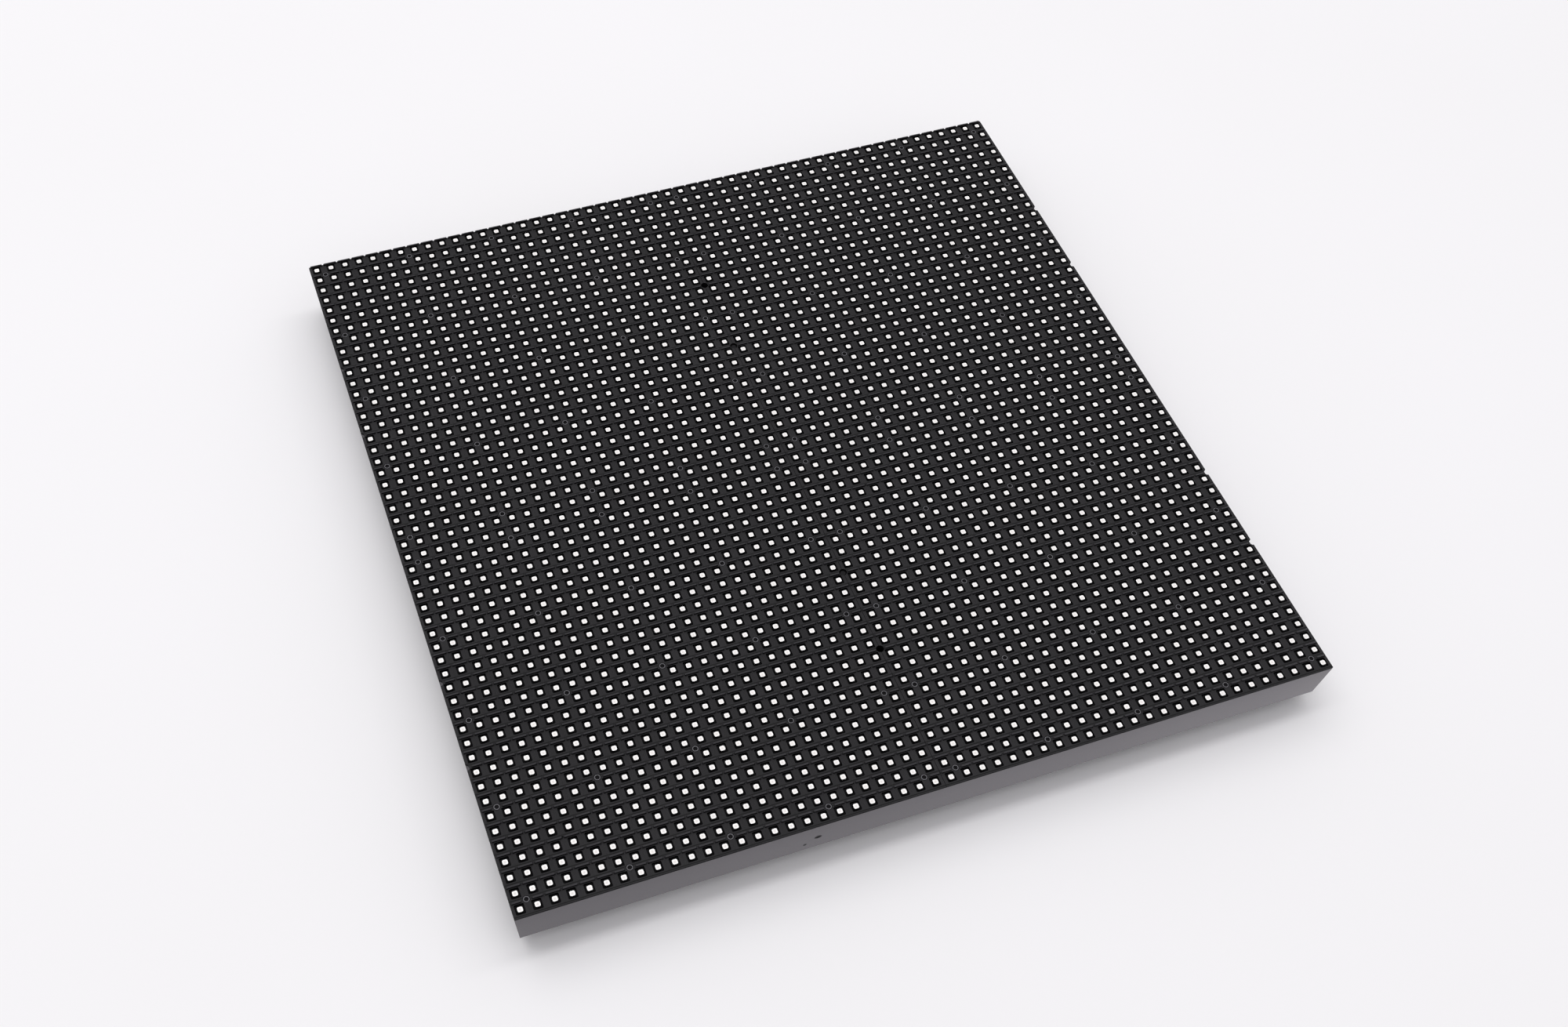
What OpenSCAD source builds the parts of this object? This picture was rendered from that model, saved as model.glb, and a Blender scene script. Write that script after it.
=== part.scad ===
// Outdoor led display module: a square field of white lamps on one board, closed in front by two
// louvred mask halves and behind by a drafted bottom shell with connectors, inserts and a seal.
// The module lies face up: +Z leaves the face, +X and +Y run along the rows and columns, and the
// origin is the centre of the module at the tips of its rear posts. All sizes are in millimetres.

/* [Lamp field] */

// Width of the square cell that one module fills in a wall
cell_size = 250; // [248:0.5:252]
// Lamps along each side of the field
lamp_count = 52; // [48:2:56]
// Width of a lamp's square body
lamp_size = 1.7; // [1.5:0.1:2.2]
// Height of a lamp above the board
lamp_height = 1.0; // [0.8:0.05:1.6]

/* [Mask] */

// Free space left around the face inside its cell
cell_gap = 0.3; // [0.1:0.1:0.6]
// Thickness of the mask's plate
mask_thickness = 0.7; // [0.6:0.05:0.9]
// Share of the pitch that the slot of one row of lamps takes
slot_share = 0.57; // [0.54:0.01:0.62]
// Web left at both ends of a slot
slot_end_web = 0.9; // [0.7:0.1:1]
// Height of the louvre above the mask's plate
louvre_height = 0.6; // [0.3:0.1:1]
// Thickness of the louvre
louvre_thickness = 0.5; // [0.4:0.1:0.8]
// Gap between two visors of the louvre along the far edge
visor_gap = 0.45; // [0.3:0.05:0.6]
// Gap between the two mask halves
seam_gap = 0.1; // [0.06:0.02:0.3]
// Diameter of the tool holes along the seam and the side edges
tool_hole_d = 2.4; // [2:0.1:2.4]
// How far the tool notches reach into the side edges
edge_notch_depth = 0.8; // [0.4:0.1:0.8]

/* [Mask screws] */

// Rows between two lines of screws
screw_step = 6; // [5:1:7]
// Diameter of a screw's head
screw_head_d = 2.1; // [1.8:0.1:2.2]
// Height of a screw's head
screw_head_h = 0.4; // [0.3:0.05:0.5]
// Diameter of a screw's shank
screw_shank_d = 1.4; // [1.2:0.1:1.5]
// Length of a screw's shank
screw_length = 9; // [7:0.5:11]
// Clear space between a screw's pad and the lamps' corners
screw_pad_gap = 0.5; // [0.15:0.05:0.6]

/* [Board] */

// Thickness of the lamp board
board_thickness = 1.6; // [1.2:0.2:2]
// Thickness of the shell's rim around the board
board_rim = 1.0; // [0.9:0.05:1.1]

/* [Bottom shell] */

// Depth of the shell from its rim to its rear face
shell_depth = 14.3; // [13.5:0.1:18]
// How far each side wall leans in from rim to rear face
wall_draft = 1.25; // [0.8:0.05:2]
// Thickness of the side wall at the rear face
wall_thickness = 2.6; // [2.2:0.1:3]
// Thickness of the rear wall
rear_wall = 2.6; // [2.4:0.1:3]
// Depth of the sunk panels in the rear wall
panel_depth = 1.0; // [0.6:0.1:1.2]
// Diameter of a mask screw's boss
boss_d = 5.0; // [4.4:0.2:5.6]
// Thickness of the inner ribs
rib_thickness = 1.6; // [1.2:0.1:2]
// Height of the inner ribs above the rear wall
rib_height = 4.4; // [3:0.2:5]
// Diameter of the rear posts
post_d = 8; // [6:0.5:10]
// Height of the rear posts below the rear face
post_height = 5; // [4:0.5:8]

/* [Fixing and sealing] */

// Outer diameter of a threaded insert
insert_d = 6.0; // [5.6:0.1:6.4]
// Diameter of an insert's thread at its crests
insert_bore = 3.3; // [3.2:0.05:3.4]
// Length of a threaded insert
insert_length = 8; // [6:0.5:9]
// Width of the seal
seal_width = 5; // [4:0.5:6]
// Thickness of the seal
seal_thickness = 2.2; // [1.8:0.1:2.8]
// Depth of the groove that holds the seal
seal_groove = 0.8; // [0.5:0.1:1]

/* [Connectors] */

// Contacts along one row of a data header
data_contacts = 8; // [5:1:10]
// Height of a data header above the board
data_height = 9.0; // [8:0.2:9.4]
// Contacts of the power header
power_contacts = 4; // [2:1:5]
// Height of the power header's back above the board
power_height = 10; // [8.5:0.5:10]

/* [Hidden] */

$fn = 48;

// Heights, counted up from the tips of the rear posts
rear_z = post_height;
rim_z = rear_z + shell_depth;
board_back_z = rim_z - board_thickness;
face_z = rim_z + mask_thickness;
cavity_z = rear_z + rear_wall;

// The face and its pixel lines
face_size = cell_size - cell_gap;
half_face = face_size / 2;
pitch = cell_size / lamp_count;
half_count = lamp_count / 2;
slot_width = slot_share * pitch;
screw_steps = [for (k = [1 : screw_step : half_count - 1]) k];
screw_lines = concat([for (k = screw_steps) -k * pitch], [for (k = screw_steps) k * pitch]);
screw_pad_d = sqrt(2) * (pitch - lamp_size) - 2 * screw_pad_gap;
mid_lines = [for (k = [0 : len(screw_steps) - 2]) (screw_steps[k] + screw_steps[k + 1]) / 2 * pitch];
inner_mid = mid_lines[0];
outer_mid = mid_lines[len(mid_lines) - 1];
tool_rows = [-mid_lines[2], mid_lines[2]];
peg_rows = [-mid_lines[1], mid_lines[1]];

// Clearances
board_clearance = 0.1;
hole_clearance = 0.3;
pilot_clearance = 0.05;
insert_clearance = 0.02;
seal_clearance = 0.1;
peg_d = 1.6;
half_board = half_face - board_rim - board_clearance;
half_cavity = half_face - wall_draft - wall_thickness;

// Places on the rear side, midway between the lines of screws
insert_rows = [-outer_mid, -inner_mid, inner_mid, outer_mid];
insert_places = [for (x = [-outer_mid, outer_mid]) for (y = insert_rows) [x, y]];
post_places = [for (x = [-1, 1]) for (y = [-1, 1]) [x * mid_lines[len(mid_lines) - 2], y * outer_mid]];
panel_x = [2 * pitch, outer_mid - insert_d - 6];
panel_y = [mid_lines[1] - 2, outer_mid - post_d / 2 - 10];
data_in_at = [-0.24 * cell_size, inner_mid];
data_out_at = [0.24 * cell_size, inner_mid];
power_at = [0, -inner_mid];

// Places of the packages on the board's back
driver_rows = [-outer_mid, -mid_lines[1], mid_lines[1], outer_mid];
driver_columns = [-18 * pitch, -7.5 * pitch, 7.5 * pitch, 18 * pitch];
switch_columns = [for (k = [0 : 5]) (k - 2.5) * 6 * pitch];
buffer_columns = [-4 * pitch, 4 * pitch];
resistor_columns = [for (side = [-1, 1]) for (k = [0 : 3]) side * (17.5 + 1.2 * k) * pitch];
bulk_columns = [-9 * pitch, -5.5 * pitch, 5.5 * pitch, 9 * pitch];

// Connector sizes
contact_pitch = 2.54;
contact_size = 0.64;
data_end = 5.1;
data_length = data_contacts * contact_pitch + 2 * data_end;
data_width = 8.9;
data_wall = 1.2;
data_floor = 2.5;
power_pitch = 3.96;
power_contact = 1.14;
power_length = power_contacts * power_pitch;
power_width = 8.5;
power_base = 3.4;
power_back = 1.6;
window_clearance = 1.2;

// Package sizes
driver_size = 7;
driver_height = 0.9;
bypass_width = 1.25;
bypass_length = 2;
bypass_offset = 6;
switch_length = 4.9;
switch_width = 3.9;
switch_height = 1.5;
buffer_length = 12.8;
buffer_width = 7.5;
buffer_height = 2.3;
array_length = 3.2;
array_width = 1.6;
array_height = 0.6;
bulk_base_size = 6.6;
bulk_base_height = 0.9;
bulk_can_d = 6.3;
bulk_can_height = 5.3;

// A rectangle with round corners, centred
module round_rectangle(size_x, size_y, radius) {
  square([size_x - 2 * radius, size_y], center = true);
  square([size_x, size_y - 2 * radius], center = true);
  for (sx = [-1, 1])
    for (sy = [-1, 1])
      translate([sx * (size_x / 2 - radius), sy * (size_y / 2 - radius)])
        circle(r = radius);
}

// A centred block that stands on the given height
module block(size_x, size_y, size_z, base_z) {
  translate([-size_x / 2, -size_y / 2, base_z])
    cube([size_x, size_y, size_z]);
}

// Puts its children at every mask screw of the right half
module at_right_screws() {
  for (k = screw_steps)
    for (y = screw_lines)
      translate([k * pitch, y, 0])
        children();
}

// Lamps of the right half of the field
module right_lamps() {
  for (column = [0 : half_count - 1])
    for (row = [0 : lamp_count - 1])
      translate([(column + 0.5) * pitch, (row - half_count + 0.5) * pitch, 0])
        block(lamp_size, lamp_size, lamp_height, rim_z);
}

module lamps_right() {
  color("white") right_lamps();
}

module lamps_left() {
  color("white") rotate([0, 0, 180]) right_lamps();
}

// Flat outline of the right mask half: row slots, screw pads, screw holes and tool notches
module right_mask_outline() {
  difference() {
    union() {
      difference() {
        translate([seam_gap / 2, -half_face])
          square([half_face - seam_gap / 2, face_size]);
        for (row = [0 : lamp_count - 1])
          translate([seam_gap / 2 + slot_end_web, (row - half_count + 0.5) * pitch - slot_width / 2])
            square([half_face - seam_gap / 2 - 2 * slot_end_web, slot_width]);
      }
      at_right_screws() circle(d = screw_pad_d);
    }
    at_right_screws() circle(d = screw_shank_d + hole_clearance);
    for (k = concat(tool_rows, peg_rows)) {
      translate([0, k]) circle(d = tool_hole_d);
      translate([half_face + tool_hole_d / 2 - edge_notch_depth, k]) circle(d = tool_hole_d);
    }
  }
}

// Louvres on the far side of every row, broken where a screw or a tool hole needs room.
// The one along the far edge is split into one visor for each lamp.
module right_louvres() {
  difference() {
    for (row = [1 : lamp_count])
      translate([seam_gap / 2, min((row - half_count) * pitch, half_face) - louvre_thickness])
        square([half_face - seam_gap / 2, louvre_thickness]);
    for (column = [1 : half_count - 1])
      translate([column * pitch - visor_gap / 2, half_face - 1.5 * louvre_thickness])
        square([visor_gap, 2 * louvre_thickness]);
    at_right_screws() circle(d = screw_head_d + 2 * hole_clearance);
    for (k = concat(tool_rows, peg_rows)) {
      translate([0, k]) circle(d = tool_hole_d);
      translate([half_face + tool_hole_d / 2 - edge_notch_depth, k]) circle(d = tool_hole_d);
    }
  }
}

module right_mask() {
  difference() {
    union() {
      translate([0, 0, rim_z])
        linear_extrude(mask_thickness) right_mask_outline();
      translate([0, 0, rim_z + mask_thickness / 2])
        linear_extrude(mask_thickness / 2 + louvre_height) right_louvres();
    }
    at_right_screws()
      translate([0, 0, face_z - mask_thickness / 2])
        cylinder(d = screw_head_d + hole_clearance, h = mask_thickness);
  }
}

module mask_right() {
  color("#2c2b2d") right_mask();
}

module mask_left() {
  color("#2c2b2d") mirror([1, 0, 0]) right_mask();
}

// Small black screws that hold the mask halves and the board on the shell's bosses
module mask_screws() {
  color("#1c1c1e")
    for (x = screw_lines)
      for (y = screw_lines)
        translate([x, y, face_z - mask_thickness / 2]) {
          cylinder(d = screw_head_d, h = screw_head_h);
          translate([0, 0, -screw_length])
            cylinder(d = screw_shank_d, h = screw_length + screw_head_h / 2);
        }
}

module lamp_board() {
  color("#15171a")
    translate([0, 0, board_back_z])
      linear_extrude(board_thickness)
        difference() {
          square(2 * half_board, center = true);
          for (x = screw_lines)
            for (y = screw_lines)
              translate([x, y]) circle(d = screw_shank_d + 2 * hole_clearance);
          for (k = tool_rows)
            translate([0, k]) circle(d = tool_hole_d);
          for (k = peg_rows)
            translate([0, k]) circle(d = peg_d + hole_clearance);
        }
}

// Cuts the four leaning side walls
module draft_cuts() {
  for (side = [0 : 3])
    rotate([0, 0, 90 * side])
      translate([half_face, 0, rim_z])
        rotate([0, atan(wall_draft / shell_depth), 0])
          translate([0, -cell_size, -3 * shell_depth])
            cube([cell_size / 8, 2 * cell_size, 6 * shell_depth]);
}

// Window in the rear wall for a plug
module plug_window(at, length, width) {
  translate([at[0], at[1], 0])
    block(length + 2 * window_clearance, width + 2 * window_clearance, rear_wall + 2, rear_z - 1);
}

module shell_tray() {
  difference() {
    block(face_size, face_size, shell_depth, rear_z);
    draft_cuts();
    block(2 * half_cavity, 2 * half_cavity, shell_depth, cavity_z);
    block(2 * (half_board + board_clearance), 2 * (half_board + board_clearance), shell_depth, board_back_z);
  }
}

// Pegs in the seam that the mask halves close round
module seam_pegs() {
  for (k = peg_rows)
    translate([0, k, cavity_z - 0.5]) {
      cylinder(d = boss_d, h = board_back_z - cavity_z + 0.5);
      cylinder(d = peg_d, h = face_z - cavity_z);
    }
}

module rear_posts() {
  for (place = post_places)
    translate([place[0], place[1], 0]) {
      cylinder(d1 = post_d - 2, d2 = post_d, h = 1);
      translate([0, 0, 1]) cylinder(d = post_d, h = rear_z + 0.5);
    }
}

module inner_ribs() {
  for (y = [for (k = screw_steps) if (k * pitch < half_cavity - boss_d) k * pitch])
    for (side = [-1, 1]) {
      translate([0, side * y, 0])
        block(2 * half_cavity + 1, rib_thickness, rib_height + 0.5, cavity_z - 0.5);
    }
}

module bottom_shell() {
  color("#3a393b")
    difference() {
      union() {
        shell_tray();
        inner_ribs();
        for (x = screw_lines)
          for (y = screw_lines)
            translate([x, y, cavity_z - 0.5])
              cylinder(d = boss_d, h = board_back_z - cavity_z + 0.5);
        for (place = insert_places)
          translate([place[0], place[1], cavity_z - 0.5])
            cylinder(d = insert_d + 4, h = insert_length);
        seam_pegs();
        rear_posts();
      }
      // pilot holes of the mask screws
      for (x = screw_lines)
        for (y = screw_lines)
          translate([x, y, face_z - mask_thickness / 2 - screw_length - 0.5])
            cylinder(d = screw_shank_d + 2 * pilot_clearance, h = shell_depth);
      // seats of the threaded inserts
      for (place = insert_places)
        translate([place[0], place[1], rear_z - 1])
          cylinder(d = insert_d + 2 * insert_clearance, h = insert_length + 1);
      // tool grooves, which run down the side walls from the mask's edge notches
      for (side = [-1, 1])
        for (k = concat(tool_rows, peg_rows))
          translate([side * (half_face + tool_hole_d / 2 - edge_notch_depth), k, rear_z - 1])
            cylinder(d = tool_hole_d, h = shell_depth + 2);
      // groove of the seal
      translate([0, 0, rear_z - 1])
        linear_extrude(seal_groove + 1)
          seal_outline(seal_clearance);
      // sunk panels
      for (sx = [-1, 1])
        for (sy = [-1, 1])
          translate([sx * (panel_x[0] + panel_x[1]) / 2, sy * (panel_y[0] + panel_y[1]) / 2, 0])
            block(panel_x[1] - panel_x[0], panel_y[1] - panel_y[0], panel_depth + 1, rear_z - 1);
      plug_window(data_in_at, data_length, data_width);
      plug_window(data_out_at, data_length, data_width);
      plug_window(power_at, power_length, power_width);
    }
}

// Ring of the seal, grown by the given clearance
module seal_outline(grow) {
  seal_outer = 2 * (half_cavity - 1);
  difference() {
    round_rectangle(seal_outer + 2 * grow, seal_outer + 2 * grow, 6 + grow);
    round_rectangle(seal_outer - 2 * seal_width - 2 * grow, seal_outer - 2 * seal_width - 2 * grow, 3 - grow);
  }
}

module rear_seal() {
  color("#5c5f63")
    translate([0, 0, rear_z + seal_groove - seal_thickness])
      linear_extrude(seal_thickness)
        seal_outline(0);
}

module threaded_inserts() {
  color("#b8964f")
    for (place = insert_places)
      translate([place[0], place[1], rear_z])
        difference() {
          cylinder(d = insert_d, h = insert_length);
          translate([0, 0, -1]) cylinder(d = insert_bore, h = insert_length + 2);
        }
}

// Box header that hangs from the board's back, open towards the rear, with a key slot in one wall
module data_header() {
  difference() {
    block(data_length, data_width, data_height, board_back_z - data_height);
    block(data_length - 2 * data_wall, data_width - 2 * data_wall, data_height,
          board_back_z - data_height - data_floor);
    translate([0, -data_width / 2, 0])
      block(4.5, 3 * data_wall, data_height, board_back_z - data_height - data_floor);
    data_pin_rows(contact_size + 0.04);
  }
}

module data_pin_rows(size) {
  for (k = [0 : data_contacts - 1])
    for (side = [-1, 1])
      translate([(k - (data_contacts - 1) / 2) * contact_pitch, side * contact_pitch / 2, 0])
        block(size, size, data_height - 1, board_back_z - data_height + 1);
}

module data_in_header() {
  color("#202124") translate([data_in_at[0], data_in_at[1], 0]) data_header();
}

module data_in_pins() {
  color("#c9b26a") translate([data_in_at[0], data_in_at[1], 0]) data_pin_rows(contact_size);
}

module data_out_header() {
  color("#202124") translate([data_out_at[0], data_out_at[1], 0]) data_header();
}

module data_out_pins() {
  color("#c9b26a") translate([data_out_at[0], data_out_at[1], 0]) data_pin_rows(contact_size);
}

// Power header: a base with one tall back wall
module power_header() {
  color("#e6e2d6")
    translate([power_at[0], power_at[1], 0])
      difference() {
        union() {
          block(power_length, power_width, power_base, board_back_z - power_base);
          translate([0, (power_width - power_back) / 2, 0])
            block(power_length, power_back, power_height, board_back_z - power_height);
        }
        power_pin_row(power_contact + 0.04);
      }
}

module power_pin_row(size) {
  for (k = [0 : power_contacts - 1])
    translate([(k - (power_contacts - 1) / 2) * power_pitch, 0, 0])
      block(size, size, power_height, board_back_z - power_height);
}

module power_pins() {
  color("#c8c8c8") translate([power_at[0], power_at[1], 0]) power_pin_row(power_contact);
}

// Flat packages on the board's back, in the channels between the lines of bosses
module column_drivers() {
  color("#1b1b1d")
    for (y = driver_rows)
      for (x = driver_columns)
        translate([x, y, 0])
          block(driver_size, driver_size, driver_height, board_back_z - driver_height);
}

module bypass_capacitors() {
  color("#a58a63")
    for (y = driver_rows)
      for (x = driver_columns)
        translate([x + bypass_offset, y, 0])
          block(bypass_width, bypass_length, driver_height, board_back_z - driver_height);
}

module row_switches() {
  color("#1b1b1d")
    for (y = tool_rows)
      for (x = switch_columns)
        translate([x, y, 0])
          block(switch_length, switch_width, switch_height, board_back_z - switch_height);
}

module signal_buffers() {
  color("#1b1b1d")
    for (x = buffer_columns)
      translate([x, inner_mid, 0])
        block(buffer_length, buffer_width, buffer_height, board_back_z - buffer_height);
}

module resistor_arrays() {
  color("#222326")
    for (y = [-inner_mid, inner_mid])
      for (x = resistor_columns)
        translate([x, y, 0])
          block(array_length, array_width, array_height, board_back_z - array_height);
}

module bulk_capacitor_bases() {
  color("#1b1b1d")
    for (x = bulk_columns)
      translate([x, -inner_mid, 0])
        block(bulk_base_size, bulk_base_size, bulk_base_height, board_back_z - bulk_base_height);
}

module bulk_capacitors() {
  color("#b9bcc0")
    for (x = bulk_columns)
      translate([x, -inner_mid, board_back_z - bulk_base_height - bulk_can_height])
        cylinder(d = bulk_can_d, h = bulk_can_height);
}

lamps_left();
lamps_right();
mask_left();
mask_right();
mask_screws();
lamp_board();
bottom_shell();
threaded_inserts();
rear_seal();
data_in_header();
data_in_pins();
data_out_header();
data_out_pins();
power_header();
power_pins();
column_drivers();
row_switches();
signal_buffers();
bypass_capacitors();
bulk_capacitors();
bulk_capacitor_bases();
resistor_arrays();
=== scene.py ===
# %% [markdown]
# # An outdoor led display module
#
# The object is a flat square box, 250 mm wide and about 20 mm deep, that fills one cell of a video wall.
# Its face holds 52 x 52 white lamps behind a dark mask in two halves. Behind the mask lies a board, and a
# drafted shell closes the back.
#
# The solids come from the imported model. They set the sizes and places of all that is made here, so the
# first cell loads them and keeps their box.

# %% Load the solids
import math
import bpy
import bmesh
from mathutils import Matrix, Vector


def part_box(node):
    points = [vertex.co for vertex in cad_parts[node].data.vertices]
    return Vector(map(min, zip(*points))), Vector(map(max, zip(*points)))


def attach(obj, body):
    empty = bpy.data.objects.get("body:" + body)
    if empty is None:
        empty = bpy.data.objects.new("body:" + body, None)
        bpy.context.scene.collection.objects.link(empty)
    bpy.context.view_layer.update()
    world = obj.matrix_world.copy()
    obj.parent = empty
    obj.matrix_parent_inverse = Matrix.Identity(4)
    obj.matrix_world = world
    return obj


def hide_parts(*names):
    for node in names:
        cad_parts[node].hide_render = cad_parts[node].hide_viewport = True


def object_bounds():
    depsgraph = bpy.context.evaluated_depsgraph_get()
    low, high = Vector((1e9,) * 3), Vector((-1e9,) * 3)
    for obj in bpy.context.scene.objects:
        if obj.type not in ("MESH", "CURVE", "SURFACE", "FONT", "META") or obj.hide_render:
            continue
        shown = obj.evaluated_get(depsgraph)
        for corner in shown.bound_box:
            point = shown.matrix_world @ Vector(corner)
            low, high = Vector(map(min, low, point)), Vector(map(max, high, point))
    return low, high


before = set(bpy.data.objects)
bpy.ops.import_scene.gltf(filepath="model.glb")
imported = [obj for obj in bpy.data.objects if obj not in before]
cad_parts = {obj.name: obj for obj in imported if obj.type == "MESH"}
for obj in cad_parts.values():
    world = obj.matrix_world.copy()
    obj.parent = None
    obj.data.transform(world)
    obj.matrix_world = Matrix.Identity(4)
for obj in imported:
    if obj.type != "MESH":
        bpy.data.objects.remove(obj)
cad_low, cad_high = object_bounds()
cad_size = [round(1000 * (b - a), 2) for a, b in zip(cad_low, cad_high)]
print("solids:", len(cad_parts), "box in mm:", cad_size)

# %% [markdown]
# ## Helpers
#
# Colours are written as sRGB hex, the way a paint chart gives them, but a shader works in linear light,
# so one function converts them. The next adds a shader node with its settings and links, so each material
# below reads as a list. A finish is a new material whose patterns follow the object's own coordinates.
# The last function turns a finished bmesh into a piece that rides on the one body of this object.

# %% Colour, node and piece helpers
MM = 0.001
# A Mix node has sockets of one name for each kind of data, so the sockets for colours are given by number.
MIX_FACTOR, MIX_FROM, MIX_TO, MIX_RESULT = 0, 6, 7, 2


def linear(code):
    """A colour in linear light, from its sRGB hex code."""
    parts = [int(code[i:i + 2], 16) / 255 for i in (1, 3, 5)]
    return [p / 12.92 if p <= 0.04045 else ((p + 0.055) / 1.055) ** 2.4 for p in parts] + [1.0]


def add(tree, kind, inputs=None, **settings):
    """Adds a node. Each input is a value, or the socket that it is linked to."""
    node = tree.nodes.new(kind)
    for name, value in settings.items():
        setattr(node, name, value)
    for name, value in (inputs or {}).items():
        if isinstance(value, bpy.types.NodeSocket):
            tree.links.new(value, node.inputs[name])
        else:
            node.inputs[name].default_value = value
    return node


def new_finish(name):
    """A new material, its node tree, its shader and the coordinates of the object."""
    finish = bpy.data.materials.new(name)
    finish.use_nodes = True
    tree = finish.node_tree
    surface = tree.nodes["Principled BSDF"]
    place = add(tree, "ShaderNodeTexCoord").outputs["Object"]
    return finish, tree, surface, place


def keep(shape, name, finishes, replaced=(), crease=None):
    """Makes a bmesh a piece. With a crease angle in degrees, it is shaded smooth up to that angle."""
    if crease is not None:
        for face in shape.faces:
            face.smooth = True
        for edge in shape.edges:
            edge.smooth = edge.calc_face_angle(0.0) < math.radians(crease)
    mesh = bpy.data.meshes.new(name)
    shape.to_mesh(mesh)
    shape.free()
    for finish in finishes:
        mesh.materials.append(finish)
    piece = bpy.data.objects.new(name, mesh)
    bpy.context.scene.collection.objects.link(piece)
    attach(piece, "root")
    if replaced:
        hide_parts(*replaced)
    print(name, "faces:", len(mesh.polygons))
    return piece


print("#808080 in linear light:", [round(c, 3) for c in linear("#808080")[:3]])

# %% [markdown]
# ## Camera
#
# The lamps form a perfect grid, so the photograph's camera follows from their places: its position, its
# three axes and its focal length. The picture is a crop that isn't centred on the lens axis, which the
# camera's shift gives back. The focal length and the lens axis are in pixels of the photograph, and the
# rest is in metres.

# %% Camera
photo_width, photo_height = 2000, 1310
focal_length = 2373.73
lens_axis_x, lens_axis_y = 910.03, 655.53
camera_place = (-0.16284, -0.33308, 0.47757)
camera_right = Vector((0.94065, -0.33709, 0.03932)).normalized()
camera_back = Vector((-0.23225, -0.55489, 0.79884)).normalized()
camera_up = camera_back.cross(camera_right).normalized()

camera_data = bpy.data.cameras.new("camera")
camera_data.sensor_width = 36.0
camera_data.lens = focal_length / photo_width * camera_data.sensor_width
camera_data.shift_x = (photo_width / 2 - lens_axis_x) / photo_width
camera_data.shift_y = (lens_axis_y - photo_height / 2) / photo_width
camera_data.clip_start = 0.01
camera_data.clip_end = 50.0
camera = bpy.data.objects.new("camera", camera_data)
camera_turn = Matrix((camera_right, camera_up, camera_back)).transposed().to_4x4()
camera.matrix_world = Matrix.Translation(camera_place) @ camera_turn
bpy.context.scene.collection.objects.link(camera)
bpy.context.scene.camera = camera
bpy.context.scene.view_settings.view_transform = "Standard"
print("camera lens in mm:", round(camera_data.lens, 2), "shift:", round(camera_data.shift_x, 4))

# %% [markdown]
# ## Floor and light
#
# The module lies on a pale paper sweep in a photo studio. Far from the module, the floor fades into the
# white of the room, as such a sweep does. Only rays that show the backdrop see that white: it lights
# nothing. Reflections see walls that are white and a ceiling that is darker, because a matt black face
# would else look like grey paper.
#
# A large soft box hangs high behind the module, so the wall that faces the camera is in shade. A long
# strip light runs over the module from left to right: it is thin from front to back, which gives the
# front shadow a clear edge, and long from side to side, which leaves the side shadows soft. A small card,
# low at the right, lifts the front wall towards its right end. So low a card would burn a white patch
# into the floor, so light linking keeps the floor out of its reach.

# %% White of the backdrop
backdrop = linear("#f8f8fa")


def shows_backdrop(tree):
    """One for rays from the camera, through glass or off gloss, and zero for those that bring light."""
    ray = add(tree, "ShaderNodeLightPath").outputs
    clear = add(tree, "ShaderNodeMath", {0: ray["Is Camera Ray"], 1: ray["Is Transmission Ray"]},
                operation="MAXIMUM")
    shown = add(tree, "ShaderNodeMath", {0: clear.outputs[0], 1: ray["Is Glossy Ray"]}, operation="MAXIMUM")
    return shown.outputs[0]


print("backdrop in linear light:", [round(c, 3) for c in backdrop[:3]])

# %% Floor
floor_reach = 6.0
fade_start, fade_end = 0.6, 1.6
cloud_size = 166.7 * MM

# paper is matt and nearly white, with slow clouds of tone
floor_finish, tree, surface, place = new_finish("floor_paper")
cloud = add(tree, "ShaderNodeTexNoise", {"Vector": place, "Scale": 1 / cloud_size, "Detail": 2.0})
tone = add(tree, "ShaderNodeValToRGB", {"Fac": cloud.outputs["Fac"]})
tone.color_ramp.elements[0].color = linear("#f5f4f5")
tone.color_ramp.elements[1].color = linear("#f8f7f9")
tree.links.new(tone.outputs["Color"], surface.inputs["Base Color"])
surface.inputs["Roughness"].default_value = 0.75
surface.inputs["Specular IOR Level"].default_value = 0.1
far = add(tree, "ShaderNodeVectorMath", {0: place}, operation="LENGTH")
fade = add(tree, "ShaderNodeMapRange",
           {"Value": far.outputs["Value"], "From Min": fade_start, "From Max": fade_end,
            "To Max": shows_backdrop(tree)}, interpolation_type="SMOOTHSTEP")
glow = add(tree, "ShaderNodeEmission", {"Color": backdrop})
both = add(tree, "ShaderNodeMixShader", {0: fade.outputs[0], 1: surface.outputs[0], 2: glow.outputs[0]})
tree.links.new(both.outputs[0], tree.nodes["Material Output"].inputs["Surface"])

sheet = bmesh.new()
bmesh.ops.create_grid(sheet, x_segments=4, y_segments=4, size=floor_reach)
floor_mesh = bpy.data.meshes.new("floor")
sheet.to_mesh(floor_mesh)
sheet.free()
floor_mesh.materials.append(floor_finish)
floor = bpy.data.objects.new("floor", floor_mesh)
bpy.context.scene.collection.objects.link(floor)
print("floor:", floor.name, "fades from", fade_start, "to", fade_end, "m")

# %% Room
fill_strength = 0.65
ceiling_start, ceiling_level = 0.55, 0.5

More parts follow.
